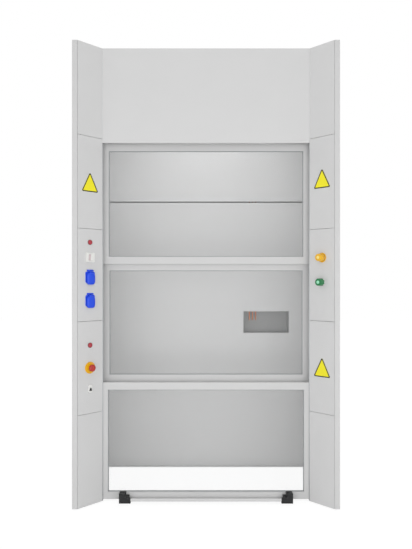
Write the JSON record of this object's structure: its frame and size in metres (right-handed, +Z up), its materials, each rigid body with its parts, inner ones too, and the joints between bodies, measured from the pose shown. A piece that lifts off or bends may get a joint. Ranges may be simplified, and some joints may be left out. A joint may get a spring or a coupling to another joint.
{
  "type": "walk-in fume hood",
  "caption": "Walk-in laboratory fume hood: floor-level chamber behind stacked sliding glass sashes, splayed control wings, rear baffle with pipe recess and a roof duct collar.",
  "frame": {"origin": "on the floor, in the middle of the hood's width and depth", "axes": "+Z up; the sashes face -Y; +X to the right as seen by someone in front of them"},
  "size_m": [1.5, 0.9, 2.718],
  "materials": {
    "casing_paint": "satin",
    "chamber_paint": "satin",
    "sash_profile": "satin",
    "track_aluminium": "satin",
    "sash_glass": "gloss",
    "frame_zinc": "satin",
    "foot_steel": "satin",
    "steel_cable": "satin",
    "weight_paint": "matte",
    "pulley_plastic": "satin",
    "copper": "satin",
    "lamp_diffuser": "satin",
    "black_plastic": "satin",
    "white_plastic": "satin",
    "blue_plastic": "satin",
    "red_plastic": "gloss",
    "yellow_plastic": "satin",
    "green_plastic": "satin"
  },
  "bodies": {
    "casing": {"steel_frame": "frame_zinc", "levelling_feet": "foot_steel", "outer_side_left": "casing_paint", "outer_side_right": "casing_paint", "rear_panel": "casing_paint", "roof_panel": "casing_paint", "exhaust_collar": "frame_zinc", "fascia_left": "casing_paint", "fascia_right": "casing_paint", "header_panel": "casing_paint", "liner_left": "chamber_paint", "liner_right": "chamber_paint", "ceiling_panel": "chamber_paint", "baffle_lower": "chamber_paint", "baffle_upper": "chamber_paint", "service_box": "chamber_paint", "service_pipes": "copper", "luminaire_housing": "casing_paint", "luminaire_diffuser": "lamp_diffuser", "sash_track_left": "track_aluminium", "sash_track_right": "track_aluminium", "pulley_bracket_left": "frame_zinc", "pulley_bracket_right": "frame_zinc", "socket_upper_base": "blue_plastic", "socket_lower_base": "blue_plastic", "light_switch_frame": "white_plastic", "stop_switch_base": "yellow_plastic", "indicator_lamps": "red_plastic", "selector_switch_body": "white_plastic", "valve_bodies": "white_plastic", "lower_sash_cables": "steel_cable", "middle_sash_cables": "steel_cable", "upper_sash_cables": "steel_cable"},
    "lower_sash": {"lower_sash_frame": "sash_profile", "lower_sash_pane": "sash_glass", "sash_grip": "sash_profile", "grip_end_left": "black_plastic", "grip_end_right": "black_plastic"},
    "middle_sash": {"middle_sash_frame": "sash_profile", "middle_sash_pane": "sash_glass"},
    "upper_sash": {"upper_sash_frame": "sash_profile", "upper_sash_pane": "sash_glass"},
    "lower_weights": {"lower_counterweights": "weight_paint"},
    "middle_weights": {"middle_counterweights": "weight_paint"},
    "upper_weights": {"upper_counterweights": "weight_paint"},
    "lower_pulley_left": {"lower_pulley_left": "pulley_plastic"},
    "lower_pulley_right": {"lower_pulley_right": "pulley_plastic"},
    "middle_pulley_left": {"middle_pulley_left": "pulley_plastic"},
    "middle_pulley_right": {"middle_pulley_right": "pulley_plastic"},
    "upper_pulley_left": {"upper_pulley_left": "pulley_plastic"},
    "upper_pulley_right": {"upper_pulley_right": "pulley_plastic"},
    "socket_upper_lid": {"socket_upper_lid": "blue_plastic"},
    "socket_lower_lid": {"socket_lower_lid": "blue_plastic"},
    "light_switch_rocker": {"light_switch_rocker": "white_plastic"},
    "selector_switch_lever": {"selector_switch_lever": "black_plastic"},
    "stop_switch_stem": {"stop_switch_stem": "black_plastic"},
    "stop_button": {"stop_button": "red_plastic"},
    "gas_knob": {"gas_knob": "yellow_plastic"},
    "water_knob": {"water_knob": "green_plastic"}
  },
  "joints": [
    {"name": "lower_sash_slide", "type": "slide", "parent": "casing", "child": "lower_sash", "axis": [0, 0, 1], "range_m": [0, 1.883], "deforming": ["lower_sash_cables"]},
    {"name": "lower_weights_slide", "type": "slide", "parent": "casing", "child": "lower_weights", "axis": [0, 0, 1], "range_m": [-1.883, 0]},
    {"name": "lower_pulley_left_spin", "type": "hinge", "parent": "casing", "child": "lower_pulley_left", "pos_m": [-0.655, -0.311, 2.56], "axis": [0, 1, 0], "continuous": true},
    {"name": "lower_pulley_right_spin", "type": "hinge", "parent": "casing", "child": "lower_pulley_right", "pos_m": [0.655, -0.311, 2.56], "axis": [0, 1, 0], "continuous": true},
    {"name": "middle_sash_slide", "type": "slide", "parent": "casing", "child": "middle_sash", "axis": [0, 0, 1], "range_m": [0, 1.21], "deforming": ["middle_sash_cables"]},
    {"name": "middle_weights_slide", "type": "slide", "parent": "casing", "child": "middle_weights", "axis": [0, 0, 1], "range_m": [-1.21, 0]},
    {"name": "middle_pulley_left_spin", "type": "hinge", "parent": "casing", "child": "middle_pulley_left", "pos_m": [-0.655, -0.259, 2.56], "axis": [0, 1, 0], "continuous": true},
    {"name": "middle_pulley_right_spin", "type": "hinge", "parent": "casing", "child": "middle_pulley_right", "pos_m": [0.655, -0.259, 2.56], "axis": [0, 1, 0], "continuous": true},
    {"name": "upper_sash_slide", "type": "slide", "parent": "casing", "child": "upper_sash", "axis": [0, 0, 1], "range_m": [0, 0.515], "deforming": ["upper_sash_cables"]},
    {"name": "upper_weights_slide", "type": "slide", "parent": "casing", "child": "upper_weights", "axis": [0, 0, 1], "range_m": [-0.515, 0]},
    {"name": "upper_pulley_left_spin", "type": "hinge", "parent": "casing", "child": "upper_pulley_left", "pos_m": [-0.655, -0.285, 2.56], "axis": [0, 1, 0], "continuous": true},
    {"name": "upper_pulley_right_spin", "type": "hinge", "parent": "casing", "child": "upper_pulley_right", "pos_m": [0.655, -0.285, 2.56], "axis": [0, 1, 0], "continuous": true},
    {"name": "socket_upper_lid_hinge", "type": "hinge", "parent": "casing", "child": "socket_upper_lid", "pos_m": [-0.65428, -0.39772, 1.332], "axis": [-0.7071, -0.7071, 0], "range_deg": [0, 110], "stiffness_Nm_per_rad": 0.02, "springref_deg": -34.38},
    {"name": "socket_lower_lid_hinge", "type": "hinge", "parent": "casing", "child": "socket_lower_lid", "pos_m": [-0.65428, -0.39772, 1.199], "axis": [-0.7071, -0.7071, 0], "range_deg": [0, 110], "stiffness_Nm_per_rad": 0.02, "springref_deg": -34.38},
    {"name": "light_switch_rock", "type": "hinge", "parent": "casing", "child": "light_switch_rocker", "pos_m": [-0.65605, -0.39595, 1.415], "axis": [0.7071, 0.7071, 0], "range_deg": [-10, 0]},
    {"name": "selector_switch_rock", "type": "hinge", "parent": "casing", "child": "selector_switch_lever", "pos_m": [-0.65782, -0.39418, 0.666], "axis": [0.7071, 0.7071, 0], "range_deg": [-24, 0]},
    {"name": "stop_switch_press", "type": "slide", "parent": "casing", "child": "stop_switch_stem", "axis": [-0.7071, 0.7071, 0], "range_m": [0, 0.005]},
    {"name": "stop_button_twist", "type": "hinge", "parent": "stop_switch_stem", "child": "stop_button", "pos_m": [-0.661, -0.391, 0.787], "axis": [-0.7071, 0.7071, 0], "range_deg": [0, 40], "stiffness_Nm_per_rad": 0.05},
    {"name": "gas_knob_turn", "type": "hinge", "parent": "casing", "child": "gas_knob", "pos_m": [0.661, -0.391, 1.414], "axis": [-0.7071, -0.7071, 0], "range_deg": [0, 360]},
    {"name": "water_knob_turn", "type": "hinge", "parent": "casing", "child": "water_knob", "pos_m": [0.661, -0.391, 1.274], "axis": [-0.7071, -0.7071, 0], "range_deg": [0, 360]}
  ],
  "couplings": [
    {"joint": "lower_weights_slide", "follows": "lower_sash_slide", "ratio": -1},
    {"joint": "lower_pulley_left_spin", "follows": "lower_sash_slide", "rad_per_m": -26.316},
    {"joint": "lower_pulley_right_spin", "follows": "lower_sash_slide", "rad_per_m": 26.316},
    {"joint": "middle_weights_slide", "follows": "middle_sash_slide", "ratio": -1},
    {"joint": "middle_pulley_left_spin", "follows": "middle_sash_slide", "rad_per_m": -26.316},
    {"joint": "middle_pulley_right_spin", "follows": "middle_sash_slide", "rad_per_m": 26.316},
    {"joint": "upper_weights_slide", "follows": "upper_sash_slide", "ratio": -1},
    {"joint": "upper_pulley_left_spin", "follows": "upper_sash_slide", "rad_per_m": -26.316},
    {"joint": "upper_pulley_right_spin", "follows": "upper_sash_slide", "rad_per_m": 26.316}
  ]
}
